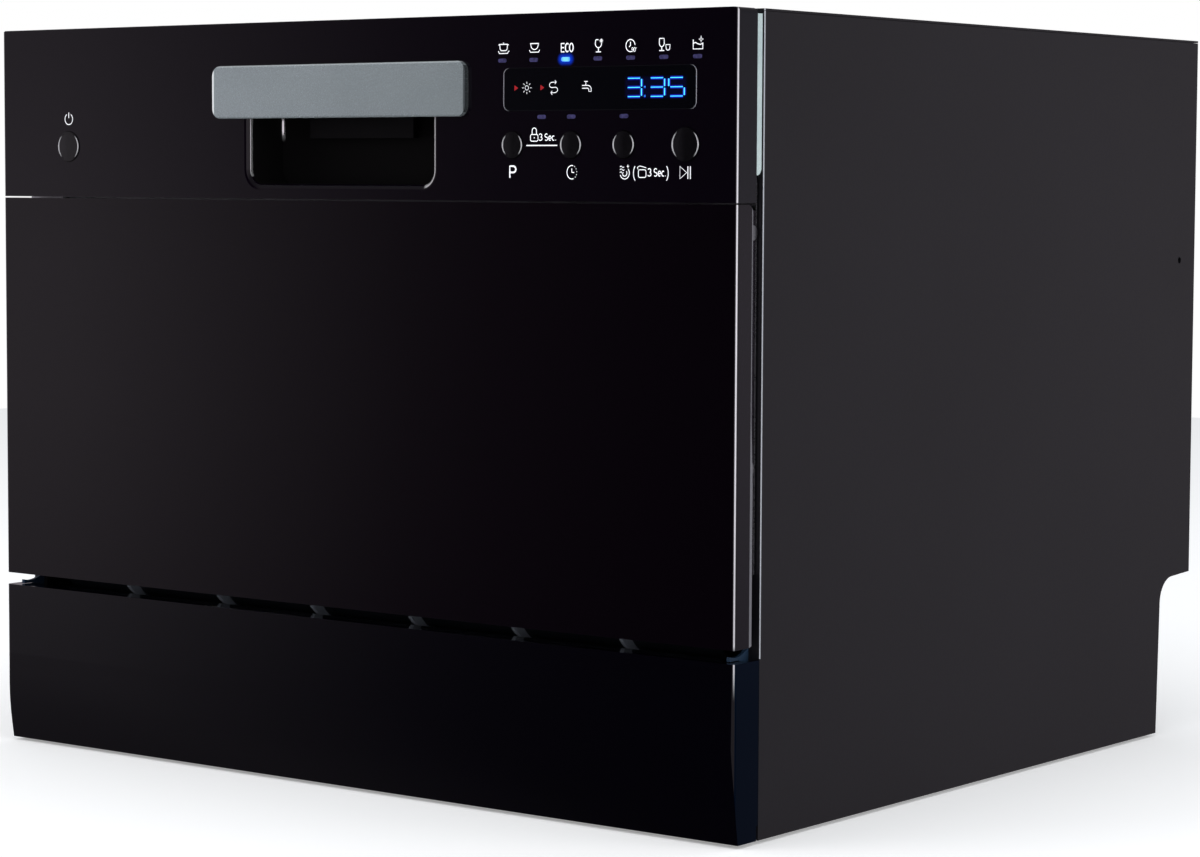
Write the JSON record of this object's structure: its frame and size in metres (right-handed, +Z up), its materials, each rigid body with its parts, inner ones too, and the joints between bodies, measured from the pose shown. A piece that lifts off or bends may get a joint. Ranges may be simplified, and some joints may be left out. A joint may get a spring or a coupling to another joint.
{
  "type": "countertop dishwasher",
  "caption": "Compact countertop dishwasher with a drop-down door, grip bar over a finger recess, control fascia, sliding wire rack and spray arm.",
  "frame": {"origin": "centre of the overall box at the height of the feet's undersides", "axes": "+X to the machine's right as seen from the front, +Y to the rear, +Z up; the door faces -Y"},
  "size_m": [0.55, 0.508, 0.438],
  "materials": {
    "fascia_gloss": "gloss black moulded plastic",
    "door_gloss": "gloss black door front",
    "plinth_gloss": "gloss black plinth",
    "cabinet_paint": "satin charcoal powder coat",
    "galvanised_steel": "bare galvanised sheet",
    "base_plastic": "black polypropylene",
    "stainless": "brushed stainless sheet",
    "seal_rubber": "black sealing rubber",
    "foot_rubber": "grey black rubber",
    "grey_plastic": "grey polypropylene",
    "light_plastic": "pale polypropylene",
    "housing_plastic": "pale grey green moulding",
    "guard_plastic": "blue grey moulding",
    "zinc_steel": "zinc plated pressing",
    "spring_steel": "spring wire",
    "bar_silver": "satin silver finish",
    "paddle_plastic": "dark grey plastic",
    "button_gloss": "gloss black button",
    "window_glass": "smoked window",
    "lens_plastic": "tinted lens",
    "board_green": "circuit board",
    "rack_coating": "nylon coated wire",
    "basket_plastic": "grey basket plastic",
    "cap_blue": "blue cap",
    "screw_steel": "zinc plated screw",
    "float_foam": "foam float"
  },
  "bodies": {
    "cabinet": {"base_frame": "base_plastic", "plinth": "plinth_gloss", "feet": "foot_rubber", "side_panel_left": "cabinet_paint", "side_panel_right": "cabinet_paint", "top_panel": "cabinet_paint", "back_panel": "galvanised_steel", "cabinet_screws": "screw_steel", "splash_guard": "guard_plastic", "tub": "stainless", "tub_gasket": "seal_rubber", "sump": "grey_plastic", "filter_plate": "stainless", "wash_pump": "grey_plastic", "drain_pump": "grey_plastic", "softener": "light_plastic", "inlet_valve": "light_plastic", "drain_spigot": "base_plastic", "air_breather": "light_plastic", "cable_gland": "base_plastic", "hinge_bracket_left": "zinc_steel", "hinge_bracket_right": "zinc_steel", "latch_striker": "zinc_steel", "roller_pins": "stainless"},
    "door": {"door_outer_panel": "door_gloss", "control_fascia": "fascia_gloss", "display_window": "window_glass", "control_board": "board_green", "control_housing": "housing_plastic", "handle_bar": "bar_silver", "door_liner": "stainless", "lower_door_seal": "seal_rubber", "dispenser_body": "grey_plastic", "hinge_arm_left": "zinc_steel", "hinge_arm_right": "zinc_steel", "door_springs": "spring_steel", "door_screws": "screw_steel", "indicator_lenses": "lens_plastic"},
    "latch_lever": {"latch_lever": "paddle_plastic"},
    "latch_hook": {"latch_hook": "zinc_steel"},
    "power_button": {"power_button": "button_gloss"},
    "program_button": {"program_button": "button_gloss"},
    "delay_button": {"delay_button": "button_gloss"},
    "dry_button": {"dry_button": "button_gloss"},
    "start_button": {"start_button": "button_gloss"},
    "dispenser_lid": {"dispenser_lid": "basket_plastic"},
    "rinse_aid_cap": {"rinse_aid_cap": "cap_blue"},
    "spray_arm": {"spray_arm": "grey_plastic"},
    "filter_cup": {"filter_cup": "stainless"},
    "salt_cap": {"salt_cap": "light_plastic"},
    "leak_float": {"leak_float": "float_foam"},
    "rack": {"rack_basket": "rack_coating", "rack_rails": "stainless", "plate_tines": "rack_coating"},
    "cup_shelf": {"cup_shelf": "basket_plastic"},
    "cutlery_basket": {"cutlery_basket": "basket_plastic"},
    "rollers_front": {"rollers_front": "light_plastic"},
    "rollers_rear": {"rollers_rear": "light_plastic"}
  },
  "joints": [
    {"name": "door_hinge", "type": "hinge", "parent": "cabinet", "child": "door", "pos_m": [0, -0.24, 0.117], "axis": [1, 0, 0], "range_deg": [0, 90], "stiffness_Nm_per_rad": 2.5},
    {"name": "latch_lever_pull", "type": "hinge", "parent": "door", "child": "latch_lever", "pos_m": [0, -0.236, 0.404], "axis": [-1, 0, 0], "range_deg": [-8, 3], "stiffness_Nm_per_rad": 0.4},
    {"name": "latch_hook_lift", "type": "hinge", "parent": "door", "child": "latch_hook", "pos_m": [0, -0.239, 0.423], "axis": [1, 0, 0], "range_deg": [-8, 3]},
    {"name": "power_button_press", "type": "slide", "parent": "door", "child": "power_button", "axis": [0, 1, 0], "range_m": [0, 0.0012], "stiffness_N_per_m": 500},
    {"name": "program_button_press", "type": "slide", "parent": "door", "child": "program_button", "axis": [0, 1, 0], "range_m": [0, 0.0012], "stiffness_N_per_m": 500},
    {"name": "delay_button_press", "type": "slide", "parent": "door", "child": "delay_button", "axis": [0, 1, 0], "range_m": [0, 0.0012], "stiffness_N_per_m": 500},
    {"name": "dry_button_press", "type": "slide", "parent": "door", "child": "dry_button", "axis": [0, 1, 0], "range_m": [0, 0.0012], "stiffness_N_per_m": 500},
    {"name": "start_button_press", "type": "slide", "parent": "door", "child": "start_button", "axis": [0, 1, 0], "range_m": [0, 0.0012], "stiffness_N_per_m": 500},
    {"name": "dispenser_lid_slide", "type": "slide", "parent": "door", "child": "dispenser_lid", "axis": [-1, 0, 0], "range_m": [0, 0.06]},
    {"name": "rinse_aid_cap_turn", "type": "hinge", "parent": "door", "child": "rinse_aid_cap", "pos_m": [-0.076, -0.209, 0.289], "axis": [0, 1, 0], "range_deg": [0, 90]},
    {"name": "rack_slide", "type": "slide", "parent": "cabinet", "child": "rack", "axis": [0, -1, 0], "range_m": [0, 0.22]},
    {"name": "rollers_front_spin", "type": "hinge", "parent": "cabinet", "child": "rollers_front", "pos_m": [0, -0.193, 0.2633], "axis": [1, 0, 0], "continuous": true},
    {"name": "rollers_rear_spin", "type": "hinge", "parent": "cabinet", "child": "rollers_rear", "pos_m": [0, -0.026, 0.2633], "axis": [1, 0, 0], "continuous": true},
    {"name": "cup_shelf_fold", "type": "hinge", "parent": "rack", "child": "cup_shelf", "pos_m": [-0.2304, -0.001, 0.3], "axis": [0, -1, 0], "range_deg": [0, 75]},
    {"name": "cutlery_basket_lift", "type": "slide", "parent": "rack", "child": "cutlery_basket", "axis": [0, 0, 1], "range_m": [0, 0.09]},
    {"name": "spray_arm_spin", "type": "hinge", "parent": "cabinet", "child": "spray_arm", "pos_m": [0, 0.029, 0.156], "axis": [0, 0, 1], "continuous": true},
    {"name": "filter_cup_turn", "type": "hinge", "parent": "cabinet", "child": "filter_cup", "pos_m": [0, -0.086, 0.12], "axis": [0, 0, 1], "range_deg": [0, 60]},
    {"name": "salt_cap_turn", "type": "hinge", "parent": "cabinet", "child": "salt_cap", "pos_m": [-0.15, -0.151, 0.138], "axis": [0, 0, 1], "range_deg": [0, 360]},
    {"name": "leak_float_rise", "type": "slide", "parent": "cabinet", "child": "leak_float", "axis": [0, 0, 1], "range_m": [0, 0.01]}
  ],
  "couplings": [
    {"joint": "rack_slide", "follows": "door_hinge", "m_per_rad": 0.14},
    {"joint": "rollers_front_spin", "follows": "door_hinge", "ratio": 14.815},
    {"joint": "rollers_rear_spin", "follows": "door_hinge", "ratio": 14.815},
    {"joint": "latch_hook_lift", "follows": "latch_lever_pull", "ratio": 1}
  ]
}
